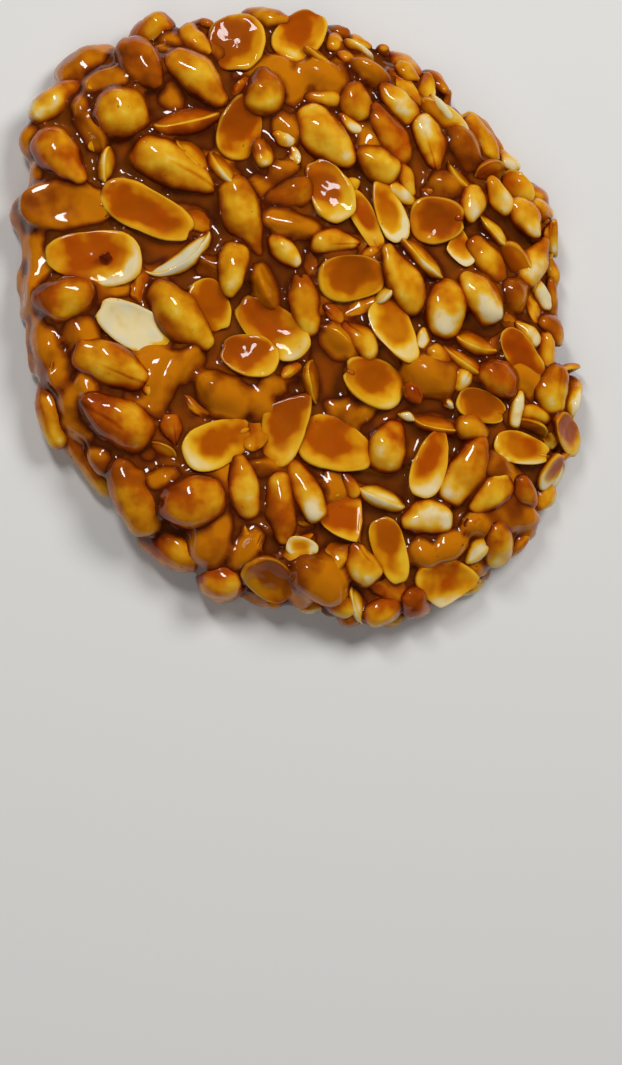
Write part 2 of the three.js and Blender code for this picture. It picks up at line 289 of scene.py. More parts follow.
# The smallest nuts and crumbs that show in their own places, which only the dressed piece has
SMALL_NUTS = read_table("""\
whole 27.5 -6.5 5.5 4 80
whole 25.5 -19 5.5 3.8 -60
whole 39 -47 5.5 4 15
whole -3.5 37.5 5.5 4 -30
whole 7.5 -1.5 5.5 3.5 -40
whole 11 -23 5.5 3.5 80
whole 11 56.5 5 3.2 -30
chip -1.5 33.5 4.8 4.2 -50
chip -12 -51 4.6 3.6 -60
whole -33 -19 4.5 3 -80
chip -45 35 4.2 3.2 0
chip 24 -23.5 4 2.8 -20
chip -2.5 -62 4 3.4 -30
chip 33 -20.5 3.8 2.6 -70
chip -28 2.5 3.6 1.8 -30
chip -8.5 67.5 3.5 2.4 -10
chip 11.5 27.5 3.5 2.8 0
chip -30.5 -14.5 2.8 2.8 0
chip -6 -33 2.8 2.6 0
crumb -42.6 9.8 3.4 2.8 30""")

# The nuts between them: places tried, lengths, widths as shares of the length, clearance, kinds, and how
# much deeper they sit. The first SOLID_GRADES rows are in the solid too. The others add the deeper nuts,
# the small ones and the chips.
SOLID_GRADES = 2
NUT_GRADES = (
    (900, (12, 15), (0.52, 0.66), 0.86, ("whole", "half", "whole"), 0),
    (1500, (8.5, 11.5), (0.5, 0.7), 0.9, ("whole", "edge", "half"), 0),
    (2500, (8, 12), (0.5, 0.7), 0.48, ("whole", "chip", "edge"), 1.3),
    (2500, (5, 8), (0.5, 0.8), 0.56, ("chip", "whole", "whole"), 0.4),
    (500, (2.4, 4.6), (0.6, 0.9), 0.85, ("chip",), 0),
)

# Nuts whose tone shows clearly: x, y, tone, where a higher one is paler
TONES = (
    (-36, -5.5, 1.9), (20, -30.5, 1), (28, -46, 0.95), (42.5, -41, 0.9), (32.5, 0.5, 0.95),
    (37.5, -36, 0.85), (-27, 12, 1.6), (26, 59.5, 0.9), (44.5, 26, 0.8), (44.5, -51, 0.9),
    (48.5, -22, 0.9), (0.5, -53, 1), (-1.5, 33.5, 1), (-41, 30.5, 0.9), (-28, 2.5, 1.2), (24, -23.5, 0.9),
    (33, -20.5, 1), (51, -4.5, 0.8), (-40, 42.5, 0.6), (-8, 48, 0.45), (-27.5, 30, 0.65),
    # The crumb at -42.6, 9.8 has a very dark tone as painted shade of the pit it lies in.
    (-12.5, 19.5, 0.6), (-52, 32, 0.4), (-23.5, -43.5, 0.4), (-42.6, 9.8, -1.2), (-6, -5, 0.5),
    (-11, -11, 0.35), (-3.5, -26.5, 0.5), (8, -30.5, 0.5), (16.5, -16.5, 0.45), (-19.5, 0, 0.6),
    (-18, -31, 0.75), (11.5, 6.5, 0.15), (30.5, 20, 0.05), (6.5, 26, 0.45), (29, -34.5, 0.7),
    (-51.5, 0.5, 0.35), (-41.5, -14, 0.65), (-35, 53, 0.15), (10, -46, 0.7), (1, 0, 0.35), (9, -64, 0.15),
)

# Nuts that lie under a skin of caramel
SKINNED_PLACES = (
    (-48, 56), (-30, -17.5), (-51.5, 21.5), (28.5, -15), (-2, 18.5), (4.5, 52.5), (32.5, 29), (33.5, -52),
    (37.5, 36.5), (11, -23), (5, -59.5), (51.5, -47), (39, -47), (13.5, -68), (48.5, 3.5),
)

# Nuts whose shape shows clearly: x, y, mould, and whether its tip points the other way
SHAPES = (
    (-27.5, 30, "pointed"), (-12.5, 19.5, "pointed"), (-52, 32, "pointed"), (-52, 45.5, "pointed"),
    (-40, 42.5, "notched", "turned"), (-23.5, -43.5, "notched", "turned"), (1, 0, "notched", "turned"),
    (-22.5, 51, "bent"), (37.5, -36, "bent"), (28, -46, "bent", "turned"), (-28.5, -55.5, "bent"),
    (5.5, 38, "seamed"), (23, 6.5, "seamed", "turned"), (32.5, 0.5, "plain"),
    (42.5, -41, "plain", "turned"), (-35.5, -41.5, "plain", "turned"), (-45.5, 10, "plain", "turned"),
    (-34, 20.5, "deep"), (-51.5, 21.5, "notched"), (-13, 40, "plain"), (-14, 59, "deep", "turned"),
    (16.5, -16.5, "notched", "turned"), (8, -30.5, "plain"), (10, -46, "broken"), (33, -60, "broken"),
    (49.5, -10, "deep"), (40.5, -21.5, "notched"), (49.5, -30.5, "notched"), (29, -34.5, "plain"),
    (21, -5, "plain"), (-18, -31, "notched"), (-3.5, -26.5, "broken"), (-11, -11, "deep", "turned"),
    (-36, -5.5, "deep", "turned"), (-25.5, 43.5, "round"), (-27, 12, "curled"),
)

# Moulds, in millimetres: length, width and thickness of a usual nut of each kind
BLUNTNESS = 0.12
COLUMN_GAP = 0.02
MOULD_SIZE = {"whole": (15, 9, 8), "half": (15, 9.5, 4.2), "chip": (4, 3, 2.6)}


class Dice:
    """Random numbers, the same on each run."""

    FACTOR = 16807
    RANGE = 2147483647

    def __init__(self, seed):
        self.state = seed

    def draw(self, low=0.0, high=1.0):
        self.state = (self.state * self.FACTOR) % self.RANGE
        return low + (high - low) * (self.state / self.RANGE)

    def pick(self, choices):
        return choices[math.floor(self.draw(0, len(choices)))]


# The slab's surface, as a point for each bearing and each reach along it


def outline_radius(bearing):
    count = len(OUTLINE_RADII)
    place = (bearing / (2 * math.pi) + 1) * count
    first = math.floor(place)
    part = place - first
    a, b, c, d = (OUTLINE_RADII[(first + step + count) % count] for step in (-1, 0, 1, 2))
    return b + 0.5 * part * (c - a + part * (2 * a - 5 * b + 4 * c - d + part * (3 * (b - c) + d - a)))


def top_height(x, y):
    along_x, along_y, slantwise = WAVE_LENGTHS
    crossed = math.sin(x / along_x + 0.7) * math.cos(y / along_y - 0.5)
    return TOP_HEIGHT + SWELL * (crossed + 0.6 * math.sin((x + y) / slantwise))


def slab_section(bearing):
    """Width of the shoulder, reach of the flat top, length of the bend and whole reach."""
    radius = outline_radius(bearing) - NUT_STAND
    shoulder = SHOULDER_WIDTH + SHOULDER_SWING * math.cos(bearing)
    drop = TOP_HEIGHT - RIM_HEIGHT
    flat = radius - shoulder
    bend = (math.pi / 2) * math.sqrt((shoulder * shoulder + drop * drop) / 2)
    return shoulder, flat, bend, flat + bend + RIM_HEIGHT


def slab_point(bearing, reach):
    shoulder, flat, bend, _ = slab_section(bearing)
    tip = (math.pi / 2) * min(max((reach - flat) / bend, 0), 1)
    fall = min(max((reach - flat - bend) / RIM_HEIGHT, 0), 1)
    across = reach if reach < flat else flat + shoulder * math.sin(tip) - UNDERCUT * fall * fall
    x = across * math.cos(bearing)
    y = across * math.sin(bearing)
    height = RIM_HEIGHT * (1 - fall) + (top_height(x, y) - RIM_HEIGHT) * math.cos(tip)
    return np.array((x, y, height))


def slab_reach(bearing, across):
    shoulder, flat, bend, _ = slab_section(bearing)
    if across < flat:
        return across
    return flat + (bend * math.asin(min(1, (across - flat) / shoulder))) / (math.pi / 2)


def unit(vector):
    return vector / np.linalg.norm(vector)


def slab_directions(bearing, reach):
    """Outwards along the surface, round the piece, and square to the surface."""
    step = 0.4
    outward = unit(slab_point(bearing, reach + step) - slab_point(bearing, reach - step))
    around = np.array((-math.sin(bearing), math.cos(bearing), 0))
    return outward, around, unit(np.cross(outward, around))


# Where the nuts lie


def lay_nut(dice, kind, bearing, reach, shown_length, shown_width, turn, sink=0):
    length = SUNK_SHARE * shown_length
    width = SUNK_SHARE * shown_width
    pitch = dice.draw(-LEAN, LEAN)
    lean = dice.draw(-LEAN, LEAN)
    rise = dice.draw(*RISE[kind]) - sink
    roll = lean
    if kind == "edge":
        size = (length, EDGE_NUT_WIDTH, width)
        roll -= math.copysign(EDGE_NUT_ROLL, lean)
    else:
        size = (length, width, THICKNESS[kind] * width)
    outward, around, square = slab_directions(bearing, reach)
    swing = turn - bearing
    along = outward * math.cos(swing) + around * math.sin(swing)
    middle = slab_point(bearing, reach) + square * rise
    axes = np.stack((along, np.cross(square, along), square), axis=1)
    place = Matrix(axes.tolist()).to_4x4() @ Matrix.Rotation(pitch, 4, "Y") @ Matrix.Rotation(roll, 4, "X")
    place = Matrix.Translation(middle) @ place @ Matrix.Diagonal((*size, 1))
    bead = BEAD_SHARE * width
    beads = np.stack([middle + along * (step * (length / 2 - bead)) for step in (-1, 0, 1)])
    return {
        "kind": kind, "place": place, "inward": place.inverted(), "middle": middle, "square": square,
        "beads": beads, "bead": bead, "filler": False, "in_solid": False,
    }


@functools.lru_cache(maxsize=1)
def scatter_nuts():
    """All nuts, in the order in which they find their places."""
    dice = Dice(RANDOM_SEED)
    nuts = []

    def place(given):
        for kind, x, y, length, width, turn in given:
            bearing = math.atan2(y, x)
            reach = slab_reach(bearing, math.hypot(x, y))
            nuts.append(lay_nut(dice, kind, bearing, reach, length, width, math.radians(turn)))

    place(PLACED_NUTS)
    for grade, (tries, lengths, widths, clearance, kinds, sink) in enumerate(NUT_GRADES):
        if grade == SOLID_GRADES:
            for nut in nuts:
                nut["in_solid"] = True
            place(SMALL_NUTS)
        beads = [nut["beads"] for nut in nuts]
        sizes = [nut["bead"] for nut in nuts]
        for _ in range(tries):
            bearing = dice.draw(-math.pi, math.pi)
            reach = slab_section(bearing)[3] * math.sqrt(dice.draw())
            kind = dice.pick(kinds)
            long = dice.draw(*lengths)
            wide = long * dice.draw(*widths)
            turn = dice.draw(*TURNS)
            if kind == "edge":
                wide /= 2
            nut = lay_nut(dice, kind, bearing, reach, long, wide, turn, sink)
            others = np.stack(beads)
            gaps = np.linalg.norm(nut["beads"][:, None, None, :] - others[None], axis=3)
            needed = clearance * (nut["bead"] + np.array(sizes))
            if not (gaps > needed[None, :, None]).all():
                continue
            if grade >= SOLID_GRADES and (is_swallowed(nut, nuts, DEEPER_REACH) or hides_face(nut, nuts)):
                continue
            nut["filler"] = True
            nuts.append(nut)
            beads.append(nut["beads"])
            sizes.append(nut["bead"])
    return nuts


def is_swallowed(nut, others, reach):
    """True if a nut's middle lies in a larger nut, out to a share of that nut's length and width."""
    larger = (other for other in others if other["bead"] > nut["bead"])
    return any((other["inward"] @ Vector(nut["middle"])).length < reach for other in larger)


def hides_face(nut, others):
    """True if a nut would come through the flat face of a split one."""
    for other in others:
        if other["kind"] in ("half", "edge"):
            for x, y, z in (other["inward"] @ Vector(bead) for bead in nut["beads"]):
                if math.hypot(x, y) < FACE_REACH and abs(z) < FACE_DEPTH:
                    return True
    return False


def find_near(nut, rows):
    """The row of a table whose place lies nearest to a nut, if it lies close enough."""
    x, y = nut["middle"][:2]
    gap, nearest = min((math.hypot(x - row[0], y - row[1]), row) for row in rows)
    return nearest if gap < NEAR_PLACE else None


# Working with Blender's tools


def deselect_everything():
    if bpy.context.mode != "OBJECT":
        bpy.ops.object.mode_set(mode="OBJECT")
    bpy.ops.object.select_all(action="DESELECT")


def make_active(obj):
    deselect_everything()
    obj.select_set(True)
    bpy.context.view_layer.objects.active = obj


def edit(obj):
    make_active(obj)
    bpy.ops.object.mode_set(mode="EDIT")
    bpy.ops.mesh.select_mode(type="VERT")


def leave_edit():
    bpy.ops.object.mode_set(mode="OBJECT")


def pick_everything():
    bpy.ops.mesh.select_all(action="SELECT")


def pick_nothing(obj):
    shape = bmesh.from_edit_mesh(obj.data)
    for part in (*shape.faces, *shape.edges, *shape.verts):
        part.select_set(False)
    return shape


def pick_points(obj, test):
    """Selects the points of an edited mesh whose place passes the test."""
    shape = pick_nothing(obj)
    for point in shape.verts:
        if test(point.co):
            point.select_set(True)
    shape.select_flush_mode()
    bmesh.update_edit_mesh(obj.data)


def pick_faces(obj, test):
    """Selects the faces of an edited mesh whose middle and normal pass the test."""
    shape = pick_nothing(obj)
    for face in shape.faces:
        if test(face.calc_center_median(), face.normal):
            face.select_set(True)
    bmesh.update_edit_mesh(obj.data)


def columns_of(obj):
    """Where an edited mould has points along its length, in millimetres."""
    return sorted({round(v.co.x / MM, 2) for v in bmesh.from_edit_mesh(obj.data).verts})


def pick_column(obj, column):
    pick_points(obj, lambda p: abs(p.x / MM - column) < COLUMN_GAP)


def scale_picked(x=1.0, y=1.0, z=1.0, about=(0, 0, 0)):
    bpy.ops.transform.resize(value=(x, y, z), center_override=about)


def move_picked(x=0.0, y=0.0, z=0.0):
    bpy.ops.transform.translate(value=(x * MM, y * MM, z * MM))


def cut_off(place, outward, fill=True):
    """Cuts off all of an edited mesh that lies beyond a plane."""
    pick_everything()
    bpy.ops.mesh.bisect(plane_co=place, plane_no=outward, use_fill=fill, clear_outer=True)


def join_all(objects):
    """Joins objects into the first one."""
    make_active(objects[0])
    for obj in objects[1:]:
        obj.select_set(True)
    bpy.ops.object.join()


def finish_with(obj, kind, **settings):
    """Adds a modifier, sets it and applies it."""
    make_active(obj)
    modifier = obj.modifiers.new(kind.lower(), kind)
    for name, value in settings.items():
        setattr(modifier, name, value)
    bpy.ops.object.modifier_apply(modifier=modifier.name)


def vectors_of(parts, name):
    vectors = np.empty(3 * len(parts), dtype=np.float32)
    parts.foreach_get(name, vectors)
    return vectors.reshape(-1, 3).astype(float)


def points_of(mesh):
    return vectors_of(mesh.vertices, "co")


def normals_of(mesh):
    return vectors_of(mesh.vertex_normals, "vector")


def set_points(mesh, points):
    mesh.vertices.foreach_set("co", points.astype(np.float32).ravel())
    mesh.update()


def give_values(mesh, name, values, kind="FLOAT"):
    """Stores one value for each point, which the materials read by its name."""
    layer = mesh.attributes.get(name) or mesh.attributes.new(name=name, type=kind, domain="POINT")
    part = "vector" if kind == "FLOAT_VECTOR" else "value"
    layer.data.foreach_set(part, np.asarray(values, np.float32).ravel())


def values_of(mesh, name):
    """Reads back what give_values stored, or zeros."""
    values = np.zeros(len(mesh.vertices), dtype=np.float32)
    if name in mesh.attributes:
        mesh.attributes[name].data.foreach_get("value", values)
    return values.astype(float)


def fit_to_size(obj, size, top=None):
    """Brings a mould to its exact size, centred, or with its upper side at the given height."""
    points = points_of(obj.data)
    low, high = points.min(axis=0), points.max(axis=0)
    points = (points - (low + high) / 2) / (high - low) * np.array(size) * MM
    if top is not None:
        points[:, 2] += (top - size[2] / 2) * MM
    set_points(obj.data, points)


def round_off(obj):
    """Rounds an edited mould by one step of subdivision."""
    leave_edit()
    finish_with(obj, "SUBSURF", levels=1, render_levels=1)


def store_nut_place(obj, size):
    """Stores each point's place in the nut, as shares of its length, width and thickness."""
    give_values(obj.data, "nut_place", points_of(obj.data) / (np.array(size) * MM), "FLOAT_VECTOR")


# Moulds, each modelled once


def add_ball_along_x(name, segments, rings, size):
    deselect_everything()
    bpy.ops.mesh.primitive_uv_sphere_add(
        segments=segments, ring_count=rings, radius=size[1] * MM / 2, rotation=(0, math.pi / 2, 0)
    )
    obj = bpy.context.active_object
    obj.name = name
    bpy.ops.object.transform_apply(location=False, rotation=True, scale=False)
    edit(obj)
    pick_everything()
    scale_picked(size[0] / size[1], 1, size[2] / size[1])
    return obj


def make_whole_mould(name, roll, nose, belly, seam, notch=0.0):
    """A blanched peanut with a small nose, a blunt end, a soft seam along it and perhaps a notched tip."""
    size = MOULD_SIZE["whole"]
    half = size[0] * MM / 2
    obj = add_ball_along_x(name, 16, 10, size)
    for start in (0.1, 0.4, 0.7):
        pick_points(obj, lambda p: p.x > start * half)
        scale_picked(1, nose, nose)
    for end in (0.9, 0.7):
        pick_points(obj, lambda p: p.x < -end * half)
        scale_picked(1, 1 + BLUNTNESS, 1 + BLUNTNESS)
    pick_points(obj, lambda p: p.x > 0.9 * half)
    scale_picked(1, 1 + 2 * BLUNTNESS, 1 + 2 * BLUNTNESS)
    pick_points(obj, lambda p: p.x < -0.9 * half)
    move_picked(0.3)
    pick_points(obj, lambda p: abs(p.x) < 0.5 * half)
    move_picked(0, belly)
    pick_points(obj, lambda p: abs(p.y - belly * MM) < 0.2 * MM and abs(p.x) < 0.95 * half)
    scale_picked(1, 1, seam)
    pick_everything()
    bpy.ops.transform.rotate(value=roll, orient_axis="X", center_override=(0, 0, 0))
    if notch:
        pick_points(obj, lambda p: p.x > 0.9 * half and abs(p.y) < 0.5 * MM)
        move_picked(-notch, 0, 0)
    round_off(obj)
    fit_to_size(obj, size)
    store_nut_place(obj, size)
    return obj


def store_face(obj, size):
    """Stores which points are on a half nut's flat face, and how near its outline each one lies."""
    points = points_of(obj.data)
    on_face = (normals_of(obj.data)[:, 2] > 0.35) & (points[:, 2] > -0.35 * size[2] * MM)
    give_values(obj.data, "flat_face", on_face)
    bearings = np.arctan2(points[:, 1] / size[1], points[:, 0] / size[0])
    reaches = np.hypot(points[:, 0] / size[0], points[:, 1] / size[1])
    bins = np.linspace(-math.pi, math.pi, 37)
    middles = (bins[:-1] + bins[1:]) / 2
    outline = [reaches[np.abs(bearings - middle) < 0.12].max() for middle in middles]
    give_values(obj.data, "face_reach", reaches / np.interp(bearings, middles, outline, period=2 * math.pi))


def add_germ(obj, size):
    """The small germ that sits in the notch at the tip of a half nut."""
    deselect_everything()
    bpy.ops.mesh.primitive_uv_sphere_add(
        segments=10, ring_count=6, radius=0.8 * MM, location=(0.4 * size[0] * MM, 0.3 * MM, -0.5 * MM)
    )
    bpy.ops.transform.resize(value=(1.7, 1, 0.9))
    bpy.ops.object.transform_apply()
    join_all((obj, bpy.context.active_object))


def make_half_mould(name, notch, dish, taper, bend=0.0, broken=False, germ=False):
    """Half a peanut: a domed back, and a flat face with a raised rim, a shallow dish and a notched tip."""
    size = MOULD_SIZE["half"]
    half = size[0] * MM / 2
    obj = add_ball_along_x(name, 20, 10, (size[0], size[1], 2 * size[2]))
    cut_off((0, 0, 0), (0, 0, 1))
    for column in columns_of(obj):
        along = column * MM / half
        blunt = max(1 - along * along, 0.05) ** -BLUNTNESS
        pick_column(obj, column)
        scale_picked(1, blunt * (1 - taper * along / 2), blunt)
    pick_points(obj, lambda p: p.x > 0.98 * half)
    move_picked(-notch)
    if broken:
        cut_off((0.35 * half, 0, 0), (1, 0.45, 0.2))
    pick_faces(obj, lambda middle, normal: normal.z > 0.9)
    sides = ((0.95, 0.32), (0.88, 0.1), (0.8, -0.55 * dish), (0.55, -0.35 * dish), (0.5, -0.1 * dish))
    for share, step in sides:
        bpy.ops.mesh.extrude_region()
        scale_picked(share, share)
        move_picked(0, 0, step)
    bpy.ops.mesh.poke()
    if bend:
        for column in columns_of(obj):
            pick_column(obj, column)
            move_picked(0, 0, bend * (column * MM / half) ** 2)
    round_off(obj)
    fit_to_size(obj, (size[0], size[1], size[2] + bend), top=bend / 2)
    store_face(obj, size)
    if germ:
        add_germ(obj, size)
    store_nut_place(obj, size)
    return obj


def make_chip_mould(name, cuts):
    """A broken crumb of peanut: a small ball with a few flat breaks."""
    size = MOULD_SIZE["chip"]
    obj = add_ball_along_x(name, 12, 8, size)
    for reach, normal in cuts:
        away = Vector(normal).normalized()
        cut_off(away * reach * MM, away)
    round_off(obj)
    fit_to_size(obj, size)
    store_nut_place(obj, size)
    return obj


def whole_moulds():
    return [
        make_whole_mould("plain", 1.2, 0.95, 0.0, 0.98),
        make_whole_mould("seamed", 0.6, 0.9, 0.4, 0.92),
        make_whole_mould("bent", 2.4, 0.93, 0.8, 0.95),
        make_whole_mould("pointed", 1.9, 0.86, 0.3, 0.96),
        make_whole_mould("notched", 0.2, 0.97, 0.2, 0.97, notch=1.6),
        make_whole_mould("split", 0.3, 0.95, 0.0, 0.86),
    ]


def half_moulds():
    return [
        make_half_mould("notched", 1.6, 0.4, 0.35, germ=True),
        make_half_mould("plain", 0.4, 0.25, 0.5),
        make_half_mould("deep", 0.9, 0.6, 0.25),
        make_half_mould("broken", 0.3, 0.35, 0.1, broken=True),
    ]


def edge_moulds():
    return [
        make_half_mould("bent", 0.6, -1.2, 0.35, bend=0.5),
        make_half_mould("plain", 0.4, -0.8, 0.45),
        make_half_mould("round", 0.3, -1.9, 0.2),
        make_half_mould("fat", 0.5, -1.4, 0.4),
        make_half_mould("curled", 0.9, -1.5, 0.2, bend=2.4),
    ]


def chip_moulds():
    return [
        make_chip_mould("split", ((0.3, (0.2, 0.1, 1)), (1.2, (1, 0.3, -0.2)))),
        make_chip_mould("wedge", ((0.5, (0.6, 0.8, 0.4)), (0.7, (-0.7, 0.6, 0.3)))),
        make_chip_mould("block", ((1.1, (1, 0, 0.3)), (0.9, (-1, 0.4, 0)), (0.6, (0, 0.5, 1)))),
    ]


# Copies of the moulds, set where the nuts lie


def choose_mould(nut, moulds, dice):
    """The mould of a nut, whether it is mirrored, and whether its tip points the other way."""
    mould = dice.pick(moulds[:COMMON_MOULDS])
    mirrored = dice.draw() < 0.5
    turned = dice.draw() < 0.5
    shape = find_near(nut, SHAPES)
    if shape and nut["in_solid"]:
        for candidate in moulds:
            if candidate.name == shape[2]:
                mould, turned = candidate, "turned" in shape
    return mould, mirrored, turned


def store_looks(mesh, nut, dice):
    """Stores what the materials read of a nut: its tone, cover and size, how each point faces, for painted
    shade on its steep sides, and how far towards the lower side it lies, for a painted glow.
    """
    x, y = nut["middle"][:2]
    # Painted shade: nuts in the lower left get darker tones.
    in_painted_shade = math.hypot(x - SHADE_PLACE[0], y - SHADE_PLACE[1]) < SHADE_REACH
    tone = dice.draw() * (SHADE_TONE if in_painted_shade else USUAL_TONE)
    known = find_near(nut, TONES)
    skinned = find_near(nut, SKINNED_PLACES)
    if not skinned and nut["filler"]:
        skinned = dice.draw() < SKINNED_SHARE - LESS_SKINNED * x
    whole_nut = {
        "tone": known[2] if known else tone,
        "skinned": 1 if skinned else 0,
        "smallness": min(max(USUAL_BEAD / nut["bead"], 1), 3),
    }
    for name, value in whole_nut.items():
        give_values(mesh, name, np.full(len(mesh.vertices), value))
    normals = normals_of(mesh)
    # How steeply each point faces away from up, for painted shade on the steep sides.
    give_values(mesh, "flank", 1 - np.maximum(normals @ nut["square"], normals[:, 2]))
    # Painted glow: how far each point lies towards the nut's lower side, from -1 to 1, which the glaze turns
    # paler.
    aside = (points_of(mesh) - np.array(nut["middle"]) * MM)[:, :2] @ GLOW_SIDE
    aside -= (aside.min() + aside.max()) / 2
    give_values(mesh, "side", aside / aside.max())


def set_copies(name, kinds, moulds, looks_seed):
    """One copy of a mould for each nut of these kinds, joined as one piece."""
    dice = Dice(looks_seed)
    mould_size = MOULD_SIZE["half" if kinds[0] == "edge" else kinds[0]]
    to_unit = Matrix.Diagonal((*(1 / (side * MM) for side in mould_size), 1))
    to_piece = Matrix.Diagonal((MM, MM, MM, 1)) @ Matrix.Translation((-PIECE_CENTRE[0], -PIECE_CENTRE[1], 0))
    copies = []
    in_solid = [nut for nut in scatter_nuts() if nut["in_solid"]]
    for nut in scatter_nuts():
        if nut["kind"] not in kinds or (nut["in_solid"] and is_swallowed(nut, in_solid, SWALLOWED_REACH)):
            continue
        mould, mirrored, turned = choose_mould(nut, moulds, dice)
        mesh = mould.data.copy()
        before = Matrix.Diagonal((-1 if turned else 1, -1 if mirrored else 1, 1, 1))
        mesh.transform(to_piece @ nut["place"] @ to_unit @ before)
        if turned != mirrored:
            mesh.flip_normals()
        store_looks(mesh, nut, dice)
        copy = bpy.data.objects.new(name, mesh)
        bpy.context.scene.collection.objects.link(copy)
        copies.append(copy)
    join_all(copies)
    piece = copies[0]
    piece.name = piece.data.name = name
    for mould in moulds:
        bpy.data.objects.remove(mould)
    return piece


def cut_at_base(piece):
    """Cuts off what would lie below the floor, just over the caramel's underside."""
    edit(piece)
    cut_off((0, 0, NUT_BASE * MM), (0, 0, -1), fill=False)
    pick_everything()
    bpy.ops.mesh.fill_holes(sides=0)
    leave_edit()


def make_uneven(piece, texture_name, size, strength):
    """Pushes the surface in and out by a soft noise."""
    texture = bpy.data.textures.new(texture_name, "CLOUDS")
    texture.noise_scale = size
    texture.noise_depth = 1
    finish_with(piece, "DISPLACE", texture=texture, texture_coords="LOCAL", strength=strength, mid_level=0.5)


def finish_piece(piece, material):
    make_active(piece)
    bpy.ops.object.shade_smooth()
    piece.data.materials.clear()
    piece.data.materials.append(material)
    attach(piece, "root")
    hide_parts(NODE)


# What sets the pieces made of nuts apart: kinds, moulds, unevenness, and name and looks of the glaze
NUT_PIECES = {
    "whole_nuts": (("whole",), whole_moulds, 1, "whole_nut_glaze", {"seamed": True}),
    "half_nuts": (("half",), half_moulds, 0.65, "half_nut_glaze", {"on_faces": 1.0}),
    "edge_nuts": (("edge",), edge_moulds, 0.65, "edge_nut_glaze", {"on_faces": 0.4}),
    "nut_chips": (("chip", "crumb"), chip_moulds, 1, "chip_glaze", {"spread": 0.7, "run": 0.0}),
}


def make_nut_piece(name, settings):
    kinds, make_moulds, unevenness, glaze, looks = NUT_PIECES[name]
    material = nut_material(glaze, settings, **looks)
    piece = set_copies(name, kinds, make_moulds(), LOOKS_SEED + list(NUT_PIECES).index(name))
    for part, share in (("_lumps", 1), ("_dents", DENT_SHARE)):
        height = settings.lump_height * share * unevenness
        make_uneven(piece, name + part, settings.lump_size * share, height)
    cut_at_base(piece)
    finish_piece(piece, material)


# The caramel


def from_left(x):
    """Goes from below 0 at the left to 1 at the right, for what changes across the piece."""
    return np.clip(x / HALF_WIDTH, -0.2, 1)


def make_slab(name):
    """The bare slab, with finer steps than the solid's."""
    sides, rings = 120, 48
    deselect_everything()
    bpy.ops.mesh.primitive_uv_sphere_add(segments=sides, ring_count=rings, radius=1)
    slab = bpy.context.active_object
    slab.name = name
    points = points_of(slab.data)
    for i, (x, y, z) in enumerate(points):
        bearing = math.atan2(y, x)
        ring = round(rings * math.acos(min(max(z, -1), 1)) / math.pi)
        reach = slab_section(bearing)[3] * ring / (rings - 1)
        points[i] = slab_point(bearing, reach) if ring < rings else (0, 0, 0)
        points[i, :2] *= 1 - RIM_INSET / outline_radius(bearing)
    points[:, 2] *= FILLED - LESS_FILLED * from_left(points[:, 0])
    points[:, :2] -= PIECE_CENTRE
    set_points(slab.data, points * MM)
    return slab


def soft_noise(points, size):
    """Noise between about -1 and 1 at each point."""
    return np.array([noise.noise(Vector(p) / size + NOISE_SHIFT) for p in points])


def swell_copy(nuts, settings):
    """A copy of the nuts that lies just under their surface, and over it where caramel covers them."""
    copy = nuts.copy()
    copy.data = nuts.data.copy()
    bpy.context.scene.collection.objects.link(copy)
    points = points_of(copy.data)
    skinned = values_of(copy.data, "skinned")
    unevenness = soft_noise(points, SKIN_RIPPLE * MM)
    bare = -settings.sink * (1 + 0.8 * values_of(copy.data, "flat_face") - 0.5 * np.clip(unevenness, 0, 1))
    covered = settings.skin * (1 + np.clip(unevenness, -0.6, 1))
    offset = bare + (covered - bare) * skinned
    set_points(copy.data, points + normals_of(copy.data) * (offset[:, None] + bridge_at(points, settings)))
    return copy


def drop_islands(obj):
    """Deletes all that isn't joined to the mesh's highest point."""
    edit(obj)
    highest = max(v.co.z for v in bmesh.from_edit_mesh(obj.data).verts)
    pick_points(obj, lambda p: p.z >= highest)
    bpy.ops.mesh.select_linked()
    bpy.ops.mesh.select_all(action="INVERT")
    bpy.ops.mesh.delete(type="VERT")
    leave_edit()


def bridge_at(points, settings):
    """Half the width of the gaps that caramel fills, which is less towards the right."""
    return settings.bridge * (1 - LESS_BRIDGE * from_left(points[:, 0] / MM))[:, None]


def make_caramel_mesh(name, nut_pieces, settings):
    slab = make_slab(name)
    make_uneven(slab, "caramel_swell", settings.ripple_size, settings.ripple_height)
    points = points_of(slab.data)
    set_points(slab.data, points + normals_of(slab.data) * bridge_at(points, settings))
    join_all([slab, *(swell_copy(nuts, settings) for nuts in nut_pieces)])
    finish_with(slab, "REMESH", mode="VOXEL", voxel_size=settings.grain, adaptivity=0.0)
    drop_islands(slab)
    finish_with(slab, "SMOOTH", factor=0.5, iterations=settings.flow)
    points = points_of(slab.data)
    set_points(slab.data, points - normals_of(slab.data) * bridge_at(points, settings))
    finish_with(slab, "SMOOTH", factor=0.5, iterations=4)
    flatten_underside(slab)
    drop_islands(slab)
    return slab


def flatten_underside(slab):
    """Presses the lowest points flat on the floor and closes each outline there with one face."""
    points = points_of(slab.data)
    points[:, 2] = np.where(points[:, 2] < FLAT_BELOW * MM, 0, points[:, 2])
    set_points(slab.data, points)
    edit(slab)
    bpy.ops.mesh.select_mode(type="FACE")
    pick_faces(slab, lambda middle, normal: middle.z < MM)
    bpy.ops.mesh.quads_convert_to_tris()
    pick_faces(slab, lambda middle, normal: middle.z < 0.01 * MM)
    bpy.ops.mesh.delete(type="FACE")
    bpy.ops.mesh.select_mode(type="EDGE")
    bpy.ops.mesh.select_non_manifold(extend=False)
    bpy.ops.mesh.edge_face_add()
    bpy.ops.mesh.select_mode(type="VERT")
    leave_edit()


def tree_of(pieces, keep=lambda piece, polygon: True):
    """Search tree of the faces to keep."""
    points, faces = [], []
    for piece in pieces:
        start = len(points)
        points.extend(v.co.copy() for v in piece.data.vertices)
        kept = (face for face in piece.data.polygons if keep(piece, face))
        faces.extend(tuple(start + i for i in face.vertices) for face in kept)
    return BVHTree.FromPolygons(points, faces)


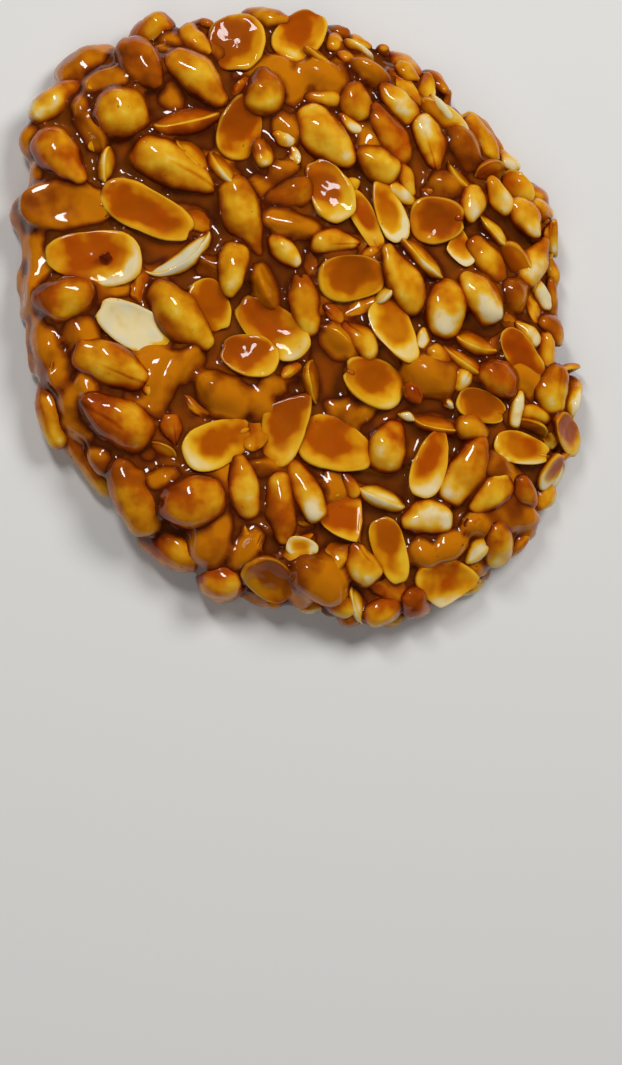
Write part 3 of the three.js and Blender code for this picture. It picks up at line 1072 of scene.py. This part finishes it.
def even_out(mesh, values, rounds):
    """Averages each point's value with its neighbours', a few times over."""
    ends = np.empty(2 * len(mesh.edges), dtype=np.int64)
    mesh.edges.foreach_get("vertices", ends)
    first, second = ends.reshape(-1, 2).T
    size = len(values)
    count = np.bincount(ends, minlength=size)
    for _ in range(rounds):
        around = np.bincount(first, values[second], size) + np.bincount(second, values[first], size)
        values = 0.5 * values + 0.5 * around / np.maximum(count, 1)
    return values


def store_depth(caramel, nuts, deepest=6.0, shade_depth_beside_bare=1.8):
    """Stores how thick the caramel lies over the nuts under each point, in millimetres, and at least a set
    depth beside bare nuts, which paints shade there.
    """
    skinned = {piece.name: values_of(piece.data, "skinned") for piece in nuts}
    covered = tree_of(nuts, lambda piece, face: skinned[piece.name][face.vertices[0]] > 0.5)
    bare = tree_of(nuts, lambda piece, face: skinned[piece.name][face.vertices[0]] <= 0.5)
    depths = np.full(len(caramel.data.vertices), deepest)
    for i, point in enumerate(caramel.data.vertices):
        _, _, _, below = bare.ray_cast(point.co, -point.normal, deepest * MM)
        if below is not None:
            # Painted shade: caramel beside a bare nut counts as at least this deep, which turns it dark.
            depths[i] = max(below / MM, shade_depth_beside_bare)
        _, outside, _, below = covered.ray_cast(point.co, -point.normal, deepest * MM)
        if below is not None:
            depths[i] = min(depths[i], below / MM if outside.dot(point.normal) > 0 else 0)
        _, _, _, beside = covered.find_nearest(point.co, deepest * MM)
        if beside is not None:
            depths[i] = min(depths[i], 5 * beside / MM)
    give_values(caramel.data, "depth", even_out(caramel.data, depths, 4))


def store_stand(nuts, caramel, thick=1.5):
    """Stores how far each point of the nuts stands out of the thick caramel, in millimetres."""
    depth = caramel.data.attributes["depth"].data
    tree = tree_of([caramel], lambda piece, face: depth[face.vertices[0]].value > thick)
    for piece in nuts:
        far = [tree.find_nearest(v.co, 0.02)[3] for v in piece.data.vertices]
        stand = np.array([0.02 if d is None else d for d in far]) / MM
        give_values(piece.data, "stand", stand * values_of(piece.data, "smallness"))


# Materials


class Wiring:
    """Adds nodes to a node tree and joins their sockets."""

    def __init__(self, tree):
        self.tree = tree
        tree.nodes.clear()

    def add(self, kind, settings=None, **values):
        node = self.tree.nodes.new(kind)
        for name, value in (settings or {}).items():
            setattr(node, name, value)
        for name, value in values.items():
            self.put(node, name.replace("_", " "), value)
        return node

    def put(self, node, name, value):
        socket = node.inputs[int(name[1:])] if name[:1] == "n" and name[1:].isdigit() else node.inputs[name]
        if isinstance(value, bpy.types.NodeSocket):
            self.tree.links.new(value, socket)
        else:
            socket.default_value = value

    def math(self, operation, first, second=0.0, third=0.0):
        node = self.add("ShaderNodeMath", {"operation": operation}, n0=first, n1=second, n2=third)
        return node.outputs[0]

    def plus(self, first, second):
        return self.math("ADD", first, second)

    def less(self, first, second):
        return self.math("SUBTRACT", first, second)

    def times(self, first, second):
        return self.math("MULTIPLY", first, second)

    def scaled(self, value, factor, added):
        """The value times the factor, plus what is added."""
        return self.math("MULTIPLY_ADD", value, factor, added)

    def fade(self, value, start, end, low=0.0, high=1.0):
        """Goes smoothly from low to high while the value goes from start to end."""
        node = self.add(
            "ShaderNodeMapRange", {"interpolation_type": "SMOOTHSTEP"},
            Value=value, From_Min=start, From_Max=end, To_Min=low, To_Max=high,
        )
        return node.outputs[0]

    def place(self):
        return self.add("ShaderNodeTexCoord").outputs["Object"]

    def noise(self, place, scale, detail):
        return self.add("ShaderNodeTexNoise", None, Vector=place, Scale=scale, Detail=detail).outputs[0]

    def ramp(self, value, stops):
        node = self.add("ShaderNodeValToRGB")
        node.color_ramp.interpolation = "LINEAR"
        while len(node.color_ramp.elements) < len(stops):
            node.color_ramp.elements.new(0.5)
        for element, (place, colour) in zip(node.color_ramp.elements, stops):
            element.position = place
            element.color = (*colour, 1)
        self.put(node, "Fac", value)
        return node.outputs[0]

    def mix(self, factor, first, second):
        node = self.add("ShaderNodeMix", {"data_type": "RGBA"}, n0=factor, n6=first, n7=(*second, 1))
        return node.outputs[2]

    def stored(self, name, output="Fac"):
        """What the points of the mesh have stored under a name."""
        node = self.add("ShaderNodeAttribute", {"attribute_type": "GEOMETRY", "attribute_name": name})
        return node.outputs[output]


def new_group(name, inputs, outputs):
    tree = bpy.data.node_groups.new(name, "ShaderNodeTree")
    wiring = Wiring(tree)
    for label, value in inputs.items():
        socket = tree.interface.new_socket(label, in_out="INPUT", socket_type="NodeSocketFloat")
        socket.default_value = value
    for label, kind in outputs.items():
        tree.interface.new_socket(label, in_out="OUTPUT", socket_type=kind)
    return wiring, wiring.add("NodeGroupInput"), wiring.add("NodeGroupOutput")


def glaze_group(settings):
    """Colour of a nut under more or less caramel, with painted shade on its steep sides and along the caramel
    line, a painted glow on its lower side, and the unevenness of its glaze.
    """
    name = "nut_glaze"
    if name in bpy.data.node_groups:
        return bpy.data.node_groups[name]
    w, given, made = new_group(
        name,
        {"Pool": 0.0, "Tone": 0.5, "Stand": 3.0, "Flank": 0.0, "Side": 0.0, "Spread": 1.0, "Run": 0.0},
        {"Color": "NodeSocketColor", "Height": "NodeSocketFloat", "Roughness": "NodeSocketFloat"},
    )
    pool, tone, stand, flank, side, spread, run = (
        given.outputs[label] for label in ("Pool", "Tone", "Stand", "Flank", "Side", "Spread", "Run")
    )
    place = w.place()
    broad = w.noise(place, 150, 2)
    fine = w.noise(place, 900, 4)
    # Darker near the caramel line and on the steep sides: partly a thicker glaze there, and partly painted
    # shade.
    glaze_and_shade = w.plus(w.fade(stand, 0.0, 1.2, 0.36, 0), w.fade(stand, 0.0, 3.2, 0.26, 0))
    glaze_and_shade = w.plus(glaze_and_shade, w.fade(flank, 0.02, 0.8, -0.08, 0.5))
    glaze_and_shade = w.times(glaze_and_shade, w.scaled(tone, 0.7, 0.5))
    amount = w.scaled(glaze_and_shade, w.scaled(pool, -0.6, 1.0), w.scaled(tone, -0.57, 0.5))
    unevenness = w.times(w.scaled(w.less(fine, 0.5), 0.13, w.less(broad, 0.5)), spread)
    amount = w.plus(w.scaled(unevenness, 1.1, amount), run)
    # Painted glow: the glaze turns paler towards the nut's lower side.
    amount = w.scaled(pool, 0.5, w.scaled(side, -0.14, amount))
    above = w.math("MAXIMUM", w.less(amount, 0.6), 0)
    amount = w.scaled(w.times(above, pool), -0.62, amount)
    colour = w.ramp(amount, (
        (0.0, settings.pale), (0.16, settings.cream), (0.35, settings.golden),
        (0.6, settings.orange), (0.97, settings.brown),
    ))
    colour = w.mix(w.fade(amount, -0.35, -0.1, 1, 0), colour, settings.bare)
    own_warmth = w.math("FRACT", w.times(tone, 13.0))
    warmth = w.scaled(w.less(w.noise(place, 240, 2), 0.5), 1.6, own_warmth)
    hue = w.scaled(w.less(warmth, 0.5), 0.009, 0.498)
    colour = w.add("ShaderNodeHueSaturation", None, Hue=hue, Color=colour).outputs[0]
    specks = w.fade(w.noise(place, 620, 1), 0.76, 0.82)
    w.put(made, "Color", w.mix(w.times(specks, 0.5), colour, settings.brown))
    w.put(made, "Height", w.plus(w.times(broad, 0.6), w.times(fine, 0.12)))
    w.put(made, "Roughness", w.fade(fine, 0.3, 0.7, 0.26, 0.42))
    return bpy.data.node_groups[name]


def new_material(name):
    material = bpy.data.materials.new(name)
    material.use_nodes = True
    w = Wiring(material.node_tree)
    shader = w.add("ShaderNodeBsdfPrincipled")
    w.add("ShaderNodeOutputMaterial", None, Surface=shader.outputs[0])
    return material, w, shader


def finish_glossy(w, shader, colour, roughness, bump, depth, share):
    """Joins up the colour, roughness and bump of a surface that is clear to some depth under a gloss."""
    w.put(shader, "Base Color", colour)
    w.put(shader, "Roughness", roughness)
    w.put(shader, "Normal", bump.outputs[0])
    for name, value in {
        "Specular IOR Level": 0.02, "IOR": 1.48, "Coat Weight": 1.0, "Coat Roughness": 0.035, "Coat IOR": 1.5,
        "Subsurface Weight": share, "Subsurface Radius": (1.0, 0.42, 0.1), "Subsurface Scale": depth,
    }.items():
        shader.inputs[name].default_value = value


def seam_mask(w, tone, along, across):
    """A wavering line along some of the nuts, where their two lobes meet."""
    sway = w.scaled(w.noise(w.place(), 150, 1), 0.16, -0.08)
    aside = w.scaled(tone, 0.5, w.less(sway, 0.25))
    off_seam = w.math("ABSOLUTE", w.less(across, aside))
    some = w.fade(w.math("FRACT", w.times(tone, 9.0)), 0.74, 0.8)
    some = w.times(some, w.fade(along, -0.25, 0.2))
    return w.times(w.fade(off_seam, 0.0, 0.07, 1, 0), some)


def nut_material(name, settings, on_faces=0.0, spread=1.0, run=0.22, seamed=False):
    """Blanched peanut under golden caramel, with pools on the flat faces where on_faces is above 0."""
    material, w, shader = new_material(name)
    tone, stand, side = w.stored("tone"), w.stored("stand"), w.stored("side")
    glaze = w.add(
        "ShaderNodeGroup", {"node_tree": glaze_group(settings)},
        Tone=tone, Stand=stand, Side=side, Flank=w.stored("flank"), Spread=spread,
    )
    nut_place = w.add("ShaderNodeSeparateXYZ", None, Vector=w.stored("nut_place", "Vector"))
    along, across = nut_place.outputs["X"], nut_place.outputs["Y"]
    darker = w.scaled(along, run, w.fade(w.stored("skinned"), 0.0, 0.5, 0, 0.32))
    colour, height = glaze.outputs["Color"], glaze.outputs["Height"]
    if seamed:
        seam = seam_mask(w, tone, along, across)
        darker = w.scaled(seam, 0.2, darker)
        height = w.scaled(seam, -0.6, height)
    w.put(glaze, "Run", darker)
    if on_faces:
        reach = w.stored("face_reach")
        face = w.stored("flat_face")
        wander = w.less(w.noise(w.place(), 140, 2), 0.5)
        # The pool keeps off the face's lower side, where a painted glow makes it paler.
        aslant = w.scaled(across, 0.3, w.scaled(side, 0.24, reach))
        pool = w.fade(w.scaled(wander, 1.7, aslant), 0.24, 0.96, 1, 0)
        w.put(glaze, "Pool", w.times(w.times(pool, face), on_faces))
        w.put(glaze, "Spread", w.fade(face, 0.2, 0.9, spread, 0.3 * spread))
        rim = w.times(w.fade(reach, 0.86, 0.96), w.fade(face, 0.2, 0.8))
        rim = w.times(rim, w.fade(stand, 0.3, 1.4))
        # Painted glow: the pale rim is paler still towards the lower side.
        rim = w.times(rim, w.fade(w.scaled(side, 0.12, wander), -0.14, 0.12, 0.35, 0.9))
        colour = w.mix(rim, colour, settings.cream)
    bump = w.add("ShaderNodeBump", None, Strength=0.25, Distance=0.0006, Height=height)
    finish_glossy(w, shader, colour, glaze.outputs["Roughness"], bump, depth=0.0016, share=0.12)
    if on_faces:
        w.put(shader, "Coat Weight", w.fade(face, 0.2, 0.9, 1, 0.6))
    return material


def caramel_material(name, settings):
    """Clear brown caramel, coloured by how thick it lies, with painted shade darkest close beside the nuts
    and lighter brown in the wide gaps.
    """
    material, w, shader = new_material(name)
    place = w.place()
    broad = w.noise(place, 110, 2)
    fine = w.noise(place, 700, 3)
    thick = w.scaled(w.less(broad, 0.5), 1.2, w.math("DIVIDE", w.stored("depth"), 6.3))
    thick = w.scaled(w.less(fine, 0.5), 0.12, thick)
    # The stop at 0.5, close beside the nuts, is the darkest: painted shade.
    colour = w.ramp(thick, (
        (0.04, settings.thin), (0.25, settings.middling), (0.5, settings.thick), (1.0, settings.deep),
    ))
    clear = w.times(w.fade(w.noise(place, 90, 2), 0.46, 0.64), w.fade(thick, 0.5, 0.9, 0, 0.75))
    colour = w.mix(clear, colour, settings.middling)
    height = w.plus(w.times(broad, 0.7), w.times(fine, 0.1))
    bump = w.add("ShaderNodeBump", None, Strength=0.2, Distance=0.0008, Height=height)
    finish_glossy(w, shader, colour, w.fade(fine, 0.3, 0.7, 0.22, 0.34), bump, depth=0.002, share=0.15)
    return material


# Settings


def colour_setting(name, description, default):
    return FloatVectorProperty(
        name=name, description=description, default=default, size=3, subtype="COLOR", min=0, max=1
    )


def length_setting(name, description, default, least=0.0):
    return FloatProperty(name=name, description=description, default=default, min=least, unit="LENGTH")


def power_setting(name, description, default):
    return FloatProperty(name=name, description=description, default=default, min=0, unit="POWER")


def place_setting(name, description, default):
    return FloatVectorProperty(name=name, description=description, default=default, subtype="TRANSLATION")


class BrittleNutSettings(PropertyGroup):
    """Sizes and colours of the peanuts"""

    lump_size: length_setting("Lump size", "Width of the uneven places of a nut", 0.009, 0.001)
    lump_height: length_setting("Lump height", "How far a nut's surface goes in and out", 0.002)
    bare: colour_setting("Bare", "Nut without caramel", (0.68, 0.61, 0.41))
    pale: colour_setting("Pale", "Nut with hardly any caramel on it", (0.76, 0.63, 0.34))
    cream: colour_setting("Cream", "Nut under a thin glaze", (0.76, 0.44, 0.022))
    golden: colour_setting("Golden", "Nut under a usual glaze", (0.66, 0.27, 0.0035))
    # Orange and brown also carry the painted shade on a nut's steep sides and along the caramel line.
    orange: colour_setting("Orange", "Nut under a thick glaze", (0.42, 0.085, 0.0005))
    brown: colour_setting("Brown", "Nut where the caramel stands against it", (0.11, 0.012, 0.0003))


class BrittleCaramelSettings(PropertyGroup):
    """Sizes and colours of the caramel"""

    grain: length_setting("Grain", "Size of the steps of the caramel's mesh", 0.00064, 0.0003)
    flow: IntProperty(name="Flow", description="How often the caramel is smoothed", default=14, min=0)
    sink: length_setting("Sink", "How far the caramel stays under a bare nut's surface", 0.0007)
    bridge: length_setting("Bridge", "Half the width of the gaps that caramel fills", 0.0011)
    skin: length_setting("Skin", "How thick the caramel lies over a covered nut", 0.00045)
    ripple_size: length_setting("Ripple size", "Width of the caramel's uneven places", 0.0075, 0.001)
    ripple_height: length_setting("Ripple height", "How far the caramel goes up and down", 0.0019)
    thin: colour_setting("Thin", "Caramel that lies thin over a nut", (0.54, 0.165, 0.001))
    middling: colour_setting("Middling", "Caramel that lies thicker over a nut", (0.27, 0.052, 0.0005))
    # Thick is the darkest caramel, painted shade close beside the nuts.
    thick: colour_setting("Thick", "Caramel close beside the nuts", (0.07, 0.008, 0.0003))
    deep: colour_setting("Deep", "Caramel in the wide gaps", (0.155, 0.036, 0.0013))


class BrittleStageSettings(PropertyGroup):
    """Floor, lights and camera"""

    floor: colour_setting("Floor", "Colour of the floor", (0.72, 0.71, 0.69))
    fill: FloatProperty(name="Fill", description="Strength of the light from all round", default=0.04, min=0)
    front: power_setting("Front", "Soft light from the front", 2.95)
    key: power_setting("Key", "Soft light from the upper right", 5.2)
    sparkle: power_setting("Sparkle", "Window light from the upper left", 2.8)
    camera_place: place_setting("Camera", "Place of the camera", (-0.0731, -0.1088, 0.606))
    camera_target: place_setting("Target", "Where the camera looks", (0.0015, -0.0498, 0.014))
    lens: FloatProperty(name="Lens", description="Focal length in millimetres", default=92.6, min=10)


# Operators


class NutOperator:
    """What the operators that set nuts have in common."""

    def execute(self, context):
        make_nut_piece(self.piece, context.scene.brittle_nuts)
        return {"FINISHED"}


class BRITTLE_OT_whole_nuts(NutOperator, Operator):
    """Set the whole peanuts"""

    bl_idname = "brittle.whole_nuts"
    bl_label = "Whole nuts"
    piece = "whole_nuts"


class BRITTLE_OT_half_nuts(NutOperator, Operator):
    """Set the split peanuts that lie with their flat face up"""

    bl_idname = "brittle.half_nuts"
    bl_label = "Half nuts"
    piece = "half_nuts"


class BRITTLE_OT_edge_nuts(NutOperator, Operator):
    """Set the split peanuts that stand on edge"""

    bl_idname = "brittle.edge_nuts"
    bl_label = "Nuts on edge"
    piece = "edge_nuts"


class BRITTLE_OT_chips(NutOperator, Operator):
    """Scatter the broken crumbs of peanut"""

    bl_idname = "brittle.chips"
    bl_label = "Nut chips"
    piece = "nut_chips"


class BRITTLE_OT_caramel(Operator):
    """Pour the caramel round the nuts"""

    bl_idname = "brittle.caramel"
    bl_label = "Caramel"

    def execute(self, context):
        nuts = [bpy.data.objects[name] for name in NUT_PIECES]
        caramel = make_caramel_mesh("caramel", nuts, context.scene.brittle_caramel)
        caramel.name = caramel.data.name = "caramel"
        material = caramel_material("caramel", context.scene.brittle_caramel)
        finish_piece(caramel, material)
        store_depth(caramel, nuts)
        store_stand(nuts, caramel)
        return {"FINISHED"}


class BRITTLE_OT_stage(Operator):
    """Set the floor, the lights and the camera"""

    bl_idname = "brittle.stage"
    bl_label = "Stage"

    def execute(self, context):
        settings = context.scene.brittle_stage
        deselect_everything()
        bpy.ops.mesh.primitive_plane_add(size=4)
        floor = context.active_object
        floor.name = "floor"
        material, _, shader = new_material("floor")
        shader.inputs["Base Color"].default_value = (*settings.floor, 1)
        shader.inputs["Roughness"].default_value = 0.7
        floor.data.materials.append(material)

        world = bpy.data.worlds.new("studio")
        context.scene.world = world
        world.use_nodes = True
        background = world.node_tree.nodes["Background"].inputs
        background["Color"].default_value = (1, 0.99, 0.97, 1)
        background["Strength"].default_value = settings.fill

        add_light("key_light", (0.42, 0.38, 0.75), 0.4, settings.key, mirrored=False)
        add_light("front_light", (-0.3, -0.5, 1.0), 1.0, settings.front, mirrored=False)
        window = add_light("window_light", (-0.26, 0.4, 0.74), 0.125, settings.sparkle)
        window.data.shape = "RECTANGLE"
        window.data.size_y = 0.31

        bpy.ops.object.camera_add(location=settings.camera_place)
        camera = context.active_object
        camera.name = "camera"
        ahead = (Vector(settings.camera_target) - Vector(settings.camera_place)).normalized()
        right = ahead.cross(Vector((0, 1, 0))).normalized()
        up = right.cross(ahead)
        camera.matrix_world = Matrix.Translation(settings.camera_place) @ Matrix(
            (right, up, -ahead)
        ).transposed().to_4x4()
        camera.data.sensor_width = 36
        camera.data.lens = settings.lens
        camera.data.clip_start, camera.data.clip_end = 0.01, 20
        context.scene.camera = camera
        context.scene.view_settings.view_transform = "Standard"
        return {"FINISHED"}


def add_light(name, place, size, power, mirrored=True):
    """A round lamp aimed at the piece, which the glossy surfaces mirror or only take light from."""
    bpy.ops.object.light_add(type="AREA", location=place)
    light = bpy.context.active_object
    light.name = name
    light.data.shape = "DISK"
    light.data.size = size
    light.data.energy = power
    light.visible_glossy = mirrored
    light.rotation_euler = (-Vector(place)).to_track_quat("-Z", "Y").to_euler()
    return light


class BRITTLE_PT_panel(Panel):
    """Lists the pieces of the brittle and the stage"""

    bl_idname = "BRITTLE_PT_panel"
    bl_label = "Peanut brittle"
    bl_space_type = "VIEW_3D"
    bl_region_type = "UI"
    bl_category = "Brittle"

    def draw(self, context):
        for operator in OPERATORS:
            self.layout.operator(operator.bl_idname)
        for name in ("brittle_nuts", "brittle_caramel", "brittle_stage"):
            settings = getattr(context.scene, name)
            box = self.layout.box()
            for setting in settings.__annotations__:
                box.prop(settings, setting)


OPERATORS = (
    BRITTLE_OT_whole_nuts,
    BRITTLE_OT_half_nuts,
    BRITTLE_OT_edge_nuts,
    BRITTLE_OT_chips,
    BRITTLE_OT_caramel,
    BRITTLE_OT_stage,
)
SETTINGS = {
    "brittle_nuts": BrittleNutSettings,
    "brittle_caramel": BrittleCaramelSettings,
    "brittle_stage": BrittleStageSettings,
}


def register():
    for kind in (*SETTINGS.values(), *OPERATORS, BRITTLE_PT_panel):
        bpy.utils.register_class(kind)
    for name, kind in SETTINGS.items():
        setattr(bpy.types.Scene, name, PointerProperty(type=kind))


def unregister():
    for name in SETTINGS:
        delattr(bpy.types.Scene, name)
    for kind in reversed((*SETTINGS.values(), *OPERATORS, BRITTLE_PT_panel)):
        bpy.utils.unregister_class(kind)


def main():
    register()
    bpy.ops.brittle.whole_nuts()
    bpy.ops.brittle.half_nuts()
    bpy.ops.brittle.edge_nuts()
    bpy.ops.brittle.chips()
    bpy.ops.brittle.caramel()
    bpy.ops.brittle.stage()


if __name__ == "__main__":
    main()
